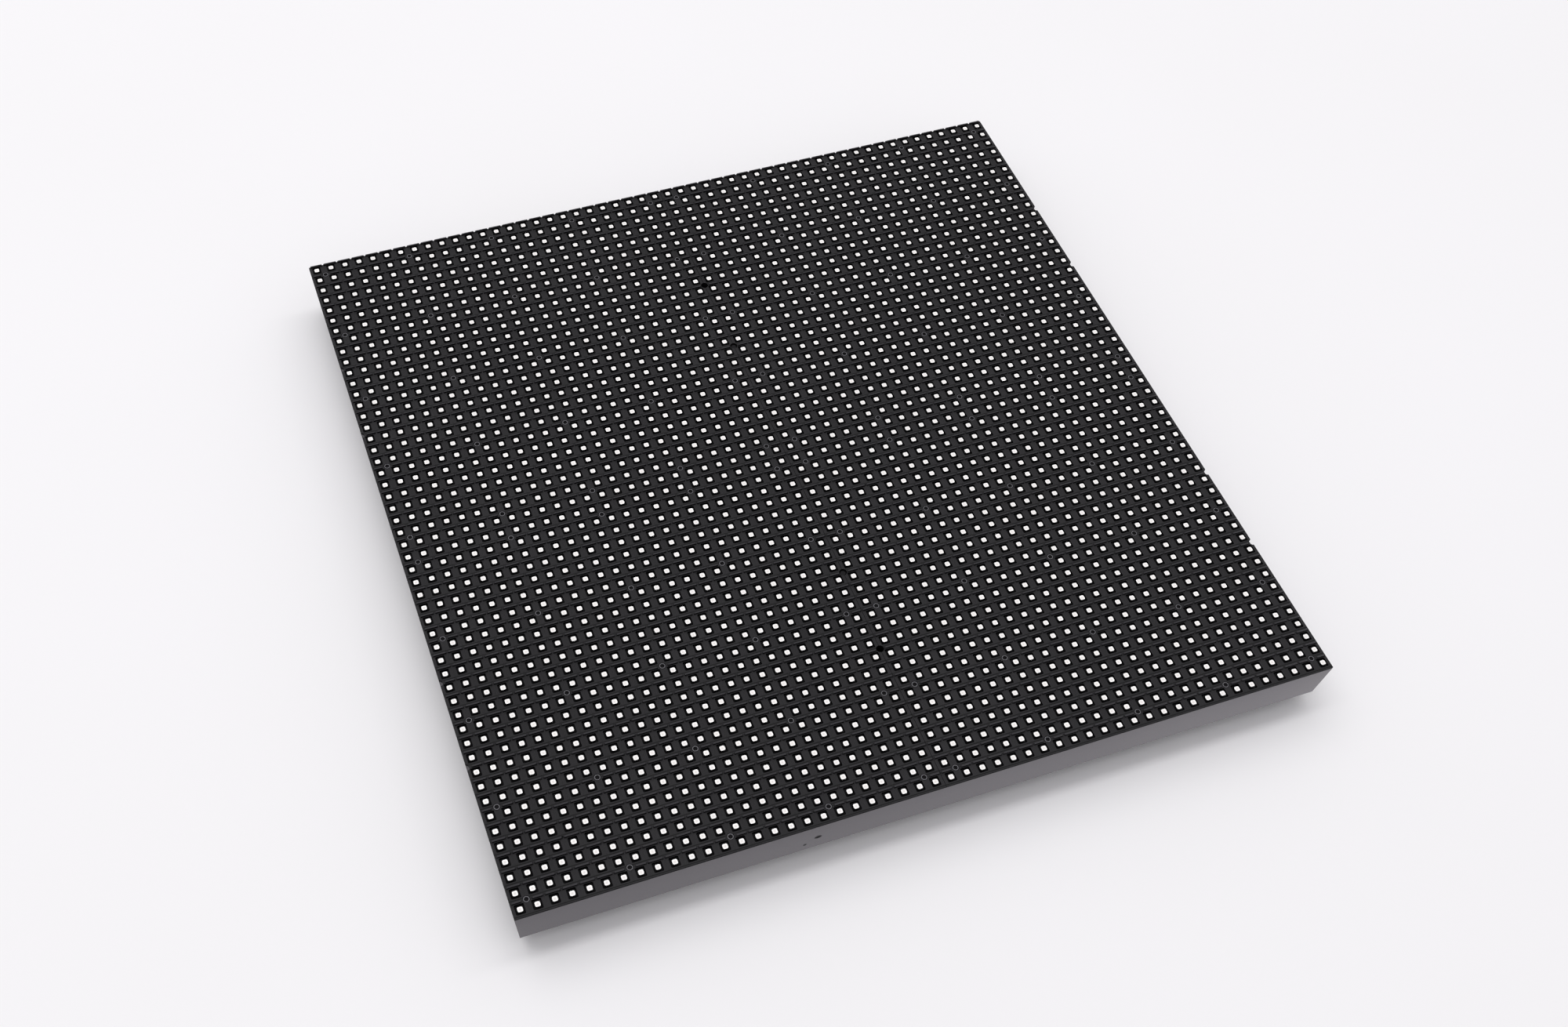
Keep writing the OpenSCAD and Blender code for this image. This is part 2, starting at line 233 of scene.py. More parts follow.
room = bpy.data.worlds.new("white_room")
room.use_nodes = True
bpy.context.scene.world = room
tree = room.node_tree
tree.nodes.clear()
fill = add(tree, "ShaderNodeBackground", {"Color": linear("#fbfafc"), "Strength": fill_strength})
direction = add(tree, "ShaderNodeTexCoord").outputs["Generated"]
upward = add(tree, "ShaderNodeSeparateXYZ", {"Vector": direction}).outputs["Z"]
level = add(tree, "ShaderNodeMapRange",
            {"Value": upward, "From Min": ceiling_start, "To Min": 1.0, "To Max": ceiling_level})
white = add(tree, "ShaderNodeBackground", {"Color": backdrop, "Strength": level.outputs[0]})
both = add(tree, "ShaderNodeMixShader", {0: shows_backdrop(tree), 1: fill.outputs[0], 2: white.outputs[0]})
add(tree, "ShaderNodeOutputWorld", {"Surface": both.outputs[0]})
print("room:", room.name, "fill:", fill_strength)

# %% Lamps of the studio
unlit = bpy.data.collections.new("out_of_reach_of_side_card")
unlit.objects.link(floor)
unlit.collection_objects[0].light_linking.link_state = "EXCLUDE"
# name, width and depth in metres, watts, place, and the way that its back faces
studio = (("soft_box", (1.8, 1.8), 12.0, (-0.4, 0.6, 2.0), (-0.4, 0.6, 2.0)),
          ("key_strip", (3.2, 0.3), 10.0, (0.3, 0.15, 2.0), (0, 0, 1)),
          ("side_card", (0.1, 0.02), 4.2, (0.55, -0.48, 0.012), (0.55, -0.48, 0.0)))
for name, size, energy, spot, facing in studio:
    lamp_data = bpy.data.lights.new(name, "AREA")
    lamp_data.shape = "RECTANGLE"
    lamp_data.size, lamp_data.size_y = size
    lamp_data.energy = energy
    studio_lamp = bpy.data.objects.new(name, lamp_data)
    studio_lamp.location = spot
    studio_lamp.rotation_mode = "QUATERNION"
    studio_lamp.rotation_quaternion = Vector(facing).to_track_quat("Z", "Y")
    if name == "side_card":
        studio_lamp.light_linking.receiver_collection = unlit
    bpy.context.scene.collection.objects.link(studio_lamp)
    print(name, "at", spot, "watts:", energy)

# %% [markdown]
# ## Mask plastic
#
# The mask is moulded from black glass-filled polycarbonate in a spark-eroded tool. The surface is matt
# with a fine grain, so it looks dark grey under a bright room. The grain of the tool is about 0.1 mm,
# which is too fine to show, so it is drawn at 0.4 mm. A faint line runs along each column where the
# tool's inserts met, and a dark line is drawn along each row a little behind the visors. PINGPONG gives
# the distance from the nearest line. The tops of the visors get a lighter tint with height, as a painted
# highlight. Upright walls slide along the tool when the part is pushed out, so they have no grain, and a
# second finish paints them darker, as painted shade.

# %% Grain and tint of the mask
lamp_rows = 52
half_columns = lamp_rows // 2
pitch = 250 * MM / lamp_rows
mask_grain, mask_patch = 0.4 * MM, 35 * MM
polycarbonate_ior = 1.58

mask_plastic, tree, surface, place = new_finish("polycarbonate_black_spark_eroded")
grain = add(tree, "ShaderNodeTexNoise",
            {"Vector": place, "Scale": 1 / mask_grain, "Detail": 3.0, "Roughness": 0.6})
patches = add(tree, "ShaderNodeTexNoise", {"Vector": place, "Scale": 1 / mask_patch, "Detail": 2.0})
tint = add(tree, "ShaderNodeValToRGB", {"Fac": patches.outputs["Fac"]})
tint.color_ramp.elements[0].position = 0.3
tint.color_ramp.elements[0].color = linear("#201f21")
tint.color_ramp.elements[1].position = 0.7
tint.color_ramp.elements[1].color = linear("#262527")
rough = add(tree, "ShaderNodeMapRange", {"Value": grain.outputs["Fac"], "To Min": 0.5, "To Max": 0.68})
tree.links.new(rough.outputs[0], surface.inputs["Roughness"])
surface.inputs["IOR"].default_value = polycarbonate_ior
surface.inputs["Specular IOR Level"].default_value = 0.14
print("finish:", mask_plastic.name, "pitch of the lamps in mm:", round(pitch / MM, 3))

# %% Lines and painted highlight of the mask
column_line = 0.14 * MM
row_line_off, row_line_core, row_line_edge = 0.57 * MM, 0.12 * MM, 0.2 * MM
highlight_from, highlight_to = 20.3 * MM, 20.6 * MM

axes = add(tree, "ShaderNodeSeparateXYZ", {"Vector": place})
columns = add(tree, "ShaderNodeMath", {0: axes.outputs["X"], 1: pitch}, operation="DIVIDE")
off_column = add(tree, "ShaderNodeMath", {0: columns.outputs[0], 1: 0.5}, operation="PINGPONG")
groove = add(tree, "ShaderNodeMapRange", {"Value": off_column.outputs[0], "From Max": column_line / pitch})
height = add(tree, "ShaderNodeMath", {0: grain.outputs["Fac"], 1: 0.25, 2: groove.outputs[0]},
             operation="MULTIPLY_ADD")
bump = add(tree, "ShaderNodeBump", {"Height": height.outputs[0], "Strength": 0.5, "Distance": 0.08 * MM})
# a dark line is drawn in the colour along each row, 0.57 mm behind the back of each visor
rows = add(tree, "ShaderNodeMath", {0: axes.outputs["Y"], 1: 1 / pitch, 2: -row_line_off / pitch},
           operation="MULTIPLY_ADD")
off_row = add(tree, "ShaderNodeMath", {0: rows.outputs[0], 1: 0.5}, operation="PINGPONG")
row_line_mask = add(tree, "ShaderNodeMapRange",
           {"Value": off_row.outputs[0], "From Min": row_line_core / pitch, "From Max": row_line_edge / pitch,
            "To Min": 1.0, "To Max": 0.0})
lined = add(tree, "ShaderNodeMix", {MIX_FACTOR: row_line_mask.outputs[0], MIX_FROM: tint.outputs["Color"],
                                    MIX_TO: linear("#060607")}, data_type="RGBA")
# painted highlight: the tint gets lighter with height on the tops of the visors
painted_light_by_height = add(tree, "ShaderNodeMapRange",
             {"Value": axes.outputs["Z"], "From Min": highlight_from, "From Max": highlight_to})
tint_with_painted_light = add(tree, "ShaderNodeMix", {MIX_FACTOR: painted_light_by_height.outputs[0], MIX_FROM: lined.outputs[MIX_RESULT],
                                   MIX_TO: linear("#333235")}, data_type="RGBA")
tree.links.new(tint_with_painted_light.outputs[MIX_RESULT], surface.inputs["Base Color"])
tree.links.new(bump.outputs["Normal"], surface.inputs["Normal"])
print("nodes in", mask_plastic.name + ":", len(tree.nodes))

# %% Drawn walls of the mask, in painted shade
wall_streak = 0.6 * MM

# painted shade: the upright walls get a darker copy of the mask's tint
mask_walls_painted_shade, tree, surface, place = new_finish("polycarbonate_black_drawn_wall_painted_shade")
streaks = add(tree, "ShaderNodeTexNoise", {"Vector": place, "Scale": 1 / wall_streak, "Detail": 1.0})
tint = add(tree, "ShaderNodeValToRGB", {"Fac": streaks.outputs["Fac"]})
tint.color_ramp.elements[0].color = linear("#0b0b0c")
tint.color_ramp.elements[1].color = linear("#111012")
tree.links.new(tint.outputs["Color"], surface.inputs["Base Color"])
surface.inputs["Roughness"].default_value = 0.45
surface.inputs["IOR"].default_value = polycarbonate_ior
surface.inputs["Specular IOR Level"].default_value = 0.03
print("finish:", mask_walls_painted_shade.name)

# %% [markdown]
# ## Mask halves
#
# A real mask half is one moulding: a thin plate with a square window for each lamp, a small visor on the
# far side of each window, a sunk seat for each screw and half-round tool notches along its edges. The
# solid has one slot for each row. Here the plate starts as a grid with one face for each lamp. Insetting
# all faces makes the webs, and the far edge of each window is moved a little nearer to its visor.
# Bevelling a corner of the grid makes a round hole there, and solidify gives the sheet its thickness.
# Places on the grid are counted in pitches from the middle.

# %% Sizes of the mask
mask_low, mask_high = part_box("mask_right")
visor_height, visor_thick = 0.6 * MM, 0.5 * MM
visor_gap, visor_slope = 0.2 * MM, 0.35 * MM
face_z = mask_high.z - visor_height
plate = face_z - mask_low.z
half_face, half_seam = mask_high.x, mask_low.x
window, window_reach = 2.74 * MM, 0.3 * MM
corner_room, corner_cut = 0.6 * MM, 0.25 * MM
first_screw, screw_spacing = 1, 6
screw_steps = [side * k for side in (-1, 1) for k in range(first_screw, half_columns, screw_spacing)]
seat_r, seat_edge, seat_ledge = 1.1 * MM, 0.01 * MM, 0.3 * MM
notch_steps = (-16, -10, 10, 16)
seam_hole_r = 1.2 * MM
notch_r, notch_depth = 1.1 * MM, 0.8 * MM
pinhole_r = 0.25 * MM
print("mask plate in mm:", round(plate / MM, 2), "screws in a row:", len(screw_steps))

# %% Round openings at corners of the grid
nearly = 0.01


def grid_corners(shape, steps):
    """The corners of the sheet that lie at these places on the grid."""
    wanted = set(steps)
    found = []
    for corner in shape.verts:
        across, along = corner.co.x / pitch, corner.co.y / pitch
        near = (round(across), round(along))
        if near in wanted and abs(across - near[0]) + abs(along - near[1]) < nearly:
            found.append(corner)
    return found


def open_corners(shape, steps, radius):
    """Bevels these corners into round faces of the given radius, and returns the faces."""
    faces = bmesh.ops.bevel(shape, geom=grid_corners(shape, steps), offset=radius, segments=1, profile=0.5,
                            affect="VERTICES", material=-1, clamp_overlap=False)["faces"]
    middles = [face.calc_center_median() / pitch for face in faces]
    bmesh.ops.subdivide_edges(shape, edges=list(dict.fromkeys(e for f in faces for e in f.edges)), cuts=1)
    for face, middle in zip(faces, middles):
        centre = Vector((round(middle.x) * pitch, round(middle.y) * pitch, face_z))
        for corner in face.verts:
            corner.co = centre + (corner.co - centre).normalized() * radius
    return faces


def window_faces(shape):
    """The faces that fill the windows, found by their centres."""
    found = []
    for face in shape.faces:
        centre = face.calc_center_bounds() / pitch
        across, along = centre.x - 0.5, centre.y - 0.5 - window_reach / 2 / pitch
        if abs(across - round(across)) + abs(along - round(along)) < nearly:
            found.append(face)
    return found


print("round seats in mm across:", round(2 * seat_r / MM, 2), "seam holes:", round(2 * seam_hole_r / MM, 2))

# %% Plate of a mask half


def mask_sheet(pinholes):
    """Half of the mask as a flat sheet, with its windows, screw seats, holes and notches open."""
    shape = bmesh.new()
    width, length = half_columns * pitch, lamp_rows * pitch
    stretch = Matrix.Translation((width / 2, 0, face_z)) @ Matrix.Diagonal((width, length, 1, 1))
    bmesh.ops.create_grid(shape, x_segments=half_columns, y_segments=lamp_rows, size=0.5, matrix=stretch)
    windows = shape.faces[:]
    bmesh.ops.inset_individual(shape, faces=windows, thickness=(pitch - window) / 2, use_even_offset=True)
    far_side = [c for f in windows for c in f.verts if c.co.y > f.calc_center_median().y]
    bmesh.ops.translate(shape, verts=far_side, vec=(0, window_reach, 0))
    seats = open_corners(shape, [(k, j) for k in screw_steps if k > 0 for j in screw_steps], seat_r)
    for border in (seat_edge, seat_ledge):
        bmesh.ops.inset_individual(shape, faces=seats, thickness=border, use_even_offset=True)
    seam_holes = open_corners(shape, [(0, j) for j in notch_steps], seam_hole_r)
    specks = open_corners(shape, pinholes, pinhole_r)
    notches = open_corners(shape, [(half_columns, j) for j in notch_steps], notch_r)
    for corner in [c for f in notches for c in f.verts]:
        corner.co.x = max(corner.co.x, half_face - notch_depth)
    corners = [c for f in windows for c in f.verts
               if min(e.calc_length() for e in c.link_edges) > corner_room]
    bmesh.ops.bevel(shape, geom=corners, offset=corner_cut, segments=1, profile=0.5, affect="VERTICES",
                    material=-1)
    windows = window_faces(shape)
    print("windows in the half:", len(windows))
    bmesh.ops.delete(shape, geom=windows + seats + seam_holes + specks + notches, context="FACES")
    return shape


def cut_to_size(shape):
    """Cuts the sheet off at the seam and at the outer edges of the mask."""
    for point, outward in (((half_face, 0, 0), (1, 0, 0)), ((half_seam, 0, 0), (-1, 0, 0)),
                           ((0, half_face, 0), (0, 1, 0)), ((0, -half_face, 0), (0, -1, 0))):
        bmesh.ops.bisect_plane(shape, geom=shape.verts[:] + shape.edges[:] + shape.faces[:],
                               dist=0.0001 * MM, plane_co=point, plane_no=outward, clear_outer=True)


def sink_seats(shape):
    """Moves the upper side of each screw seat down by half of the plate's thickness."""
    sunk = []
    for corner in shape.verts:
        k, j = round(corner.co.x / pitch), round(corner.co.y / pitch)
        off_screw = math.hypot(corner.co.x - k * pitch, corner.co.y - j * pitch)
        in_seat = k in screw_steps and j in screw_steps and off_screw < seat_r - seat_edge / 2
        if in_seat and corner.co.z > face_z - plate / 2:
            sunk.append(corner)
    bmesh.ops.translate(shape, verts=sunk, vec=(0, 0, -plate / 2))


print("mask half in mm:", round((half_face - half_seam) / MM, 2), "by", round(2 * half_face / MM, 2))

# %% [markdown]
# The visors are thin blocks with sloped ends, one for each lamp. Between neighbours the slopes leave a
# dip that is 0.9 mm wide at the top, and against the white floor these dips show as little nicks along
# the far edge. A visor is cut short where a screw or a tool notch needs room. Its top edges are softened
# a little, because a moulded edge is never sharp and a soft edge catches the light.

# %% Visors
seam_room, edge_room, notch_room, screw_room = 0.08 * MM, 0.3 * MM, 0.5 * MM, 1.35 * MM
visor_root, visor_edge = 0.02 * MM, 0.09 * MM


def visor_ends(column, row):
    """Where the visor of this lamp starts and ends along its row."""
    start = column * pitch + visor_gap / 2
    end = (column + 1) * pitch - visor_gap / 2
    if column == 0:
        start = seam_hole_r if row in notch_steps else half_seam + seam_room
    if column == half_columns - 1:
        end = half_face - (notch_depth + notch_room if row in notch_steps else edge_room)
    if row in screw_steps and column in screw_steps:
        start = column * pitch + screw_room
    if row in screw_steps and column + 1 in screw_steps:
        end = (column + 1) * pitch - screw_room
    return start, end


def only(kind, geometry):
    """The elements that are of one kind: corners, edges or faces."""
    return [g for g in geometry if isinstance(g, kind)]


def add_visors(shape):
    """Adds the visors to a mask half. Each starts a little below the face, so that no gap shows."""
    old = set(shape.faces)
    bmesh.ops.create_grid(shape, x_segments=half_columns, y_segments=lamp_rows, size=0.5,
                          matrix=Matrix.Diagonal((half_columns, lamp_rows, 1, 1)))
    bases = [f for f in shape.faces if f not in old]
    bmesh.ops.split_edges(shape, edges=list(dict.fromkeys(e for f in bases for e in f.edges)))
    for base in bases:
        middle = base.calc_center_median()
        row = round(middle.y + 0.5)
        start, end = visor_ends(round(middle.x + (half_columns - 1) / 2), row)
        far_y = min(row * pitch, half_face)
        for corner in base.verts:
            corner.co = (start if corner.co.x < middle.x else end,
                         far_y - (visor_thick if corner.co.y < middle.y else 0), face_z - visor_root)
    raised = bmesh.ops.extrude_face_region(shape, geom=bases, use_keep_orig=True)["geom"]
    tops = only(bmesh.types.BMFace, raised)
    top_corners = list(dict.fromkeys(c for f in tops for c in f.verts))
    bmesh.ops.translate(shape, verts=top_corners, vec=(0, 0, visor_height + visor_root))
    for top in tops:
        middle = top.calc_center_median()
        for corner in top.verts:
            corner.co.x += visor_slope if corner.co.x < middle.x else -visor_slope
    top_edges = list(dict.fromkeys(e for f in tops for e in f.edges))
    bmesh.ops.bevel(shape, geom=top_edges, offset=visor_edge, segments=1, profile=0.5, affect="EDGES",
                    material=-1)


print("visor beside the seam, in mm:", [round(end / MM, 2) for end in visor_ends(0, 0)])

# %% Both halves of the mask
pinholes = {"right": [(22, -22), (22, 22), (4, -4), (4, 4)],
            "left": [(22, -22), (22, 22), (22, -4), (22, 4), (4, -4), (4, 4), (16, -16)]}
for side, name in ((1, "right"), (-1, "left")):
    half = mask_sheet(pinholes[name])
    cut_to_size(half)
    bmesh.ops.solidify(half, geom=half.faces[:], thickness=plate)
    sink_seats(half)
    add_visors(half)
    if side < 0:
        bmesh.ops.scale(half, vec=(-1, 1, 1), verts=half.verts[:])
    bmesh.ops.recalc_face_normals(half, faces=half.faces[:])
    half.normal_update()
    for face in half.faces:
        # upright faces take the second finish, whose darker tint is painted shade
        upright = abs(face.normal.z) < 0.5
        face.material_index = 1 if upright else 0
    keep(half, "mask_half_" + name, [mask_plastic, mask_walls_painted_shade], ["mask_" + name])

# %% [markdown]
# ## Lamps
#
# Each lamp is a surface-mount package, 1.7 mm square: dark sides, a white moulded rim and a cup filled
# with cast silicone. From a step away it is a white dot with a slightly greyer centre. There are 2704, so
# one lamp has only a few dozen faces: a block whose upright edges and top edges are bevelled, with an
# inset cup. Two array modifiers repeat it. The finishes find each lamp's own cell and its middle by
# dividing the place by the pitch.

# %% White rim of the lamps
per_cell = (1 / pitch, 1 / pitch, 0)
rim_grain = 0.15 * MM

# moulded polyphthalamide is a very white satin, and no two lamps have quite the same white
lamp_white, tree, surface, place = new_finish("polyphthalamide_white_moulded")
cells = add(tree, "ShaderNodeVectorMath", {0: place, 1: per_cell}, operation="MULTIPLY")
cell = add(tree, "ShaderNodeVectorMath", {0: cells.outputs[0]}, operation="FLOOR")
chance = add(tree, "ShaderNodeTexWhiteNoise", {"Vector": cell.outputs[0]}, noise_dimensions="2D")
shade = add(tree, "ShaderNodeValToRGB", {"Fac": chance.outputs["Value"]})
shade.color_ramp.elements[0].color = linear("#fbf9f7")
shade.color_ramp.elements[1].color = linear("#fffefd")
grain = add(tree, "ShaderNodeTexNoise", {"Vector": place, "Scale": 1 / rim_grain, "Detail": 1.0})
bump = add(tree, "ShaderNodeBump", {"Height": grain.outputs["Fac"], "Strength": 0.1, "Distance": 0.02 * MM})
tree.links.new(shade.outputs["Color"], surface.inputs["Base Color"])
tree.links.new(bump.outputs["Normal"], surface.inputs["Normal"])
surface.inputs["Roughness"].default_value = 0.4
surface.inputs["IOR"].default_value = 1.55
print("finish:", lamp_white.name)

# %% Silicone in the cups
cup_glow_r = 0.5 * MM

# cast silicone is clear, so the dies below it make the middle of the cup a little greyer
lamp_silicone, tree, surface, place = new_finish("silicone_cast_clear_over_dies")
cells = add(tree, "ShaderNodeVectorMath", {0: place, 1: per_cell}, operation="MULTIPLY")
local = add(tree, "ShaderNodeVectorMath", {0: cells.outputs[0]}, operation="FRACTION")
centred = add(tree, "ShaderNodeVectorMath", {0: local.outputs[0], 1: (0.5, 0.5, 0)}, operation="SUBTRACT")
spread = add(tree, "ShaderNodeVectorMath", {0: centred.outputs[0]}, operation="LENGTH")
tint = add(tree, "ShaderNodeValToRGB", {"Fac": spread.outputs["Value"]})
tint.color_ramp.elements[0].color = linear("#ddd7d4")
tint.color_ramp.elements[1].position = cup_glow_r / pitch
tint.color_ramp.elements[1].color = linear("#faf7f5")
tree.links.new(tint.outputs["Color"], surface.inputs["Base Color"])
surface.inputs["Roughness"].default_value = 0.3
surface.inputs["IOR"].default_value = 1.41
print("finish:", lamp_silicone.name)

# %% Potting round the lamps
potting_grain = 0.5 * MM

# potting round the lamps is black and dull, so it swallows stray light
lamp_dark, tree, surface, place = new_finish("epoxy_black_cast_potting")
grain = add(tree, "ShaderNodeTexNoise", {"Vector": place, "Scale": 1 / potting_grain, "Detail": 2.0})
tint = add(tree, "ShaderNodeValToRGB", {"Fac": grain.outputs["Fac"]})
tint.color_ramp.elements[0].color = linear("#0b0b0c")
tint.color_ramp.elements[1].color = linear("#141315")
tree.links.new(tint.outputs["Color"], surface.inputs["Base Color"])
surface.inputs["Roughness"].default_value = 0.6
surface.inputs["Specular IOR Level"].default_value = 0.06
lamp_finishes = [lamp_white, lamp_silicone, lamp_dark]
print("lamp finishes:", [finish.name for finish in lamp_finishes])

# %% Lamps of both halves
# the mask rests on the board, so its underside is where the lamps stand
board_z = mask_low.z
lamp_size, lamp_height = 1.7 * MM, 1.0 * MM
lamp_corner, lamp_chamfer, lamp_rim, cup_depth = 0.45 * MM, 0.1 * MM, 0.22 * MM, 0.04 * MM


def top_face(shape):
    """The face whose middle is highest."""
    return max(shape.faces, key=lambda face: face.calc_center_median().z)


def one_lamp(x, y):
    """One lamp on the board, with its middle at this place."""
    shape = bmesh.new()
    size = Matrix.Diagonal((lamp_size, lamp_size, lamp_height, 1))
    middle = Matrix.Translation((x, y, board_z + lamp_height / 2))
    bmesh.ops.create_cube(shape, size=1.0, matrix=middle @ size)
    upright = [e for e in shape.edges if abs(e.verts[0].co.z - e.verts[1].co.z) > lamp_height / 2]
    bmesh.ops.bevel(shape, geom=upright, offset=lamp_corner, segments=2, profile=0.5, affect="EDGES",
                    material=-1)
    bmesh.ops.bevel(shape, geom=top_face(shape).edges[:], offset=lamp_chamfer, segments=1, profile=0.5,
                    affect="EDGES", material=-1)
    cup = top_face(shape)
    rim = bmesh.ops.inset_individual(shape, faces=[cup], thickness=lamp_rim, depth=-cup_depth,
                                     use_even_offset=True)
    for face in shape.faces:
        face.material_index = lamp_finishes.index(lamp_dark)
    for face in rim["faces"]:
        face.material_index = lamp_finishes.index(lamp_white)
    cup.material_index = lamp_finishes.index(lamp_silicone)
    return shape


def repeat_lamps(piece, step_x):
    """Repeats the lamp along its row and then row by row."""
    for name, count, step in (("columns", half_columns, (step_x, 0, 0)),
                              ("rows", lamp_rows, (0, pitch, 0))):
        repeat = piece.modifiers.new(name, "ARRAY")
        repeat.count = count
        repeat.use_relative_offset = False
        repeat.use_constant_offset = True
        repeat.constant_offset_displace = step


for side, name in ((1, "right"), (-1, "left")):
    lamp = one_lamp(side * pitch / 2, (1 - lamp_rows) / 2 * pitch)
    field = keep(lamp, "lamp_field_" + name, lamp_finishes, ["lamps_" + name], crease=50)
    repeat_lamps(field, side * pitch)

# %% [markdown]
# ## Screws
#
# A hundred small black screws hold the mask. The solid has a plain round head. Here the top starts as a
# grid of five by five faces whose border is moved out to a circle, so that five faces in a cross can be
# pushed down as the recess, and the sides of the head and the shank are drawn down from the border, ring
# by ring. The border is the crown, and its lighter finish is a painted highlight; the part inside it has a
# darker finish, which is painted shade. From a step away each screw shows as a thin grey ring round a
# black middle.

# %% Screw finishes
plating_grain = 0.25 * MM
screw_finishes = []
# name, dark and light tint, metallic and specular level
for name, dark, light, metal, gloss in (
        # plated flanks are black with a weak sheen
        ("steel_black_zinc_plated", "#1b1a1c", "#252426", 0.1, 0.15),
        # the crown is a lighter grey, as a painted highlight
        ("steel_black_zinc_painted_highlight", "#555458", "#6e6d71", 0.3, 0.4),
        # the recess and the middle of the head are dull black, as painted shade
        ("steel_black_zinc_painted_shade", "#151416", "#1f1e20", 0.0, 0.05)):
    finish, tree, surface, place = new_finish(name)
    grain = add(tree, "ShaderNodeTexNoise", {"Vector": place, "Scale": 1 / plating_grain, "Detail": 2.0})
    tint = add(tree, "ShaderNodeValToRGB", {"Fac": grain.outputs["Fac"]})
    tint.color_ramp.elements[0].color = linear(dark)
    tint.color_ramp.elements[1].color = linear(light)
    rough = add(tree, "ShaderNodeMapRange", {"Value": grain.outputs["Fac"], "To Min": 0.35, "To Max": 0.55})
    tree.links.new(tint.outputs["Color"], surface.inputs["Base Color"])
    tree.links.new(rough.outputs[0], surface.inputs["Roughness"])
    surface.inputs["Metallic"].default_value = metal
    surface.inputs["Specular IOR Level"].default_value = gloss
    screw_finishes.append(finish)
print("screw finishes:", [finish.name for finish in screw_finishes])

# %% Top of a screw
# the order of the screw finishes
FLANK, CROWN, RECESS = range(3)
screws_low, screws_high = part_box("mask_screws")
head_high = screws_high.z
crown_r, recess_r = 0.86 * MM, 0.68 * MM
slot_half = 0.15 * MM


def screw_top(shape):
    """Makes the top of the head with its crown, and returns the five faces of the cross."""
    cells = 5
    # the lines of the grid in half widths of the slot, and the circles that the outer ones are moved to
    lines = (-6, -4, -1, 1, 4, 6)
    ring_r = {4: recess_r, 6: crown_r}
    bmesh.ops.create_grid(shape, x_segments=cells, y_segments=cells, size=0.5,
                          matrix=Matrix.Translation((0, 0, head_high)))
    for corner in shape.verts:
        x, y = [lines[round((c + 0.5) * cells)] for c in corner.co.xy]
        corner.co.x, corner.co.y = x * slot_half, y * slot_half
        ring = max(abs(x), abs(y))
        if ring in ring_r:
            corner.co.xy = corner.co.xy.normalized() * ring_r[ring]
    cross = []
    for face in shape.faces:
        centre = face.calc_center_median().xy
        face.material_index = CROWN if centre.length > recess_r else RECESS
        if centre.length < recess_r and min(abs(centre.x), abs(centre.y)) < slot_half / 3:
            cross.append(face)
    return cross


print("recess in mm across:", round(2 * recess_r / MM, 2), "crown:", round(2 * crown_r / MM, 2))

# %% One screw
head_height, head_r, head_chamfer = 0.4 * MM, 1.05 * MM, 0.1 * MM
shank_r, recess_depth = 0.7 * MM, 0.3 * MM


def one_screw():
    """A screw in the middle of the module."""
    shape = bmesh.new()
    cross = screw_top(shape)
    border = [e for e in shape.edges if e.is_boundary]
    for radius, z in ((head_r, head_high - head_chamfer), (head_r, head_high - head_height),
                      (shank_r, head_high - head_height), (shank_r, screws_low.z)):
        drawn = bmesh.ops.extrude_edge_only(shape, edges=border)["geom"]
        for corner in only(bmesh.types.BMVert, drawn):
            corner.co.xy = corner.co.xy.normalized() * radius
            corner.co.z = z
        border = [e for e in only(bmesh.types.BMEdge, drawn) if e.is_boundary]
    bmesh.ops.contextual_create(shape, geom=border)
    pushed = bmesh.ops.extrude_face_region(shape, geom=cross)["geom"]
    bmesh.ops.translate(shape, verts=only(bmesh.types.BMVert, pushed), vec=(0, 0, -recess_depth))
    bmesh.ops.delete(shape, geom=cross, context="FACES_ONLY")
    for face in shape.faces:
        centre = face.calc_center_median()
        if centre.z < head_high - head_chamfer / 5:
            face.material_index = FLANK if centre.xy.length > recess_r else RECESS
    bmesh.ops.recalc_face_normals(shape, faces=shape.faces[:])
    return shape


print("screw length in mm:", round((head_high - screws_low.z) / MM, 2))

# %% All screws
# degrees from one screw to the next, so that no two neighbours stand alike
driven_turn = 37


def repeat_at(shape, places):
    """Copies the whole shape to each place, given as a matrix, and deletes the pattern."""
    pattern = shape.verts[:] + shape.edges[:] + shape.faces[:]
    for place in places:
        copy = bmesh.ops.duplicate(shape, geom=pattern)["geom"]
        bmesh.ops.transform(shape, verts=only(bmesh.types.BMVert, copy), matrix=place)
    bmesh.ops.delete(shape, geom=only(bmesh.types.BMVert, pattern), context="VERTS")


screw_places = []
for k in screw_steps:
    for j in screw_steps:
        turn = Matrix.Rotation(math.radians(driven_turn * len(screw_places)), 4, "Z")
        screw_places.append(Matrix.Translation((k * pitch, j * pitch, 0)) @ turn)
screws = one_screw()
repeat_at(screws, screw_places)
keep(screws, "mask_screw_set", screw_finishes, ["mask_screws"])

# %% [markdown]
# ## Bottom shell
#
# The shell is one moulding of satin dark grey polycarbonate. Its solid already has the right shape, so it
# only gets a finish: a fine grain, slow changes of tone, walls that are painted a little lighter towards
# the rear edge, as painted light bounced from the floor, and two small marks on the front wall. Thick
# plastic shrinks as it cools, so the rear face has a faint round dip behind each screw boss. The bosses
# stand six pitches apart from one pitch off the middle, which a PINGPONG of the distance gives back, and a
# second bump lays these dips under the grain. The rim below the mask and the tips of the two seam pegs are
# painted near black, as painted shade, so that no grey shows among the lamps.

# %% Grain, tone and painted light of the shell
shell_grain, shell_patch = 0.5 * MM, 60 * MM
rear_z, rim_z = 5 * MM, 19 * MM

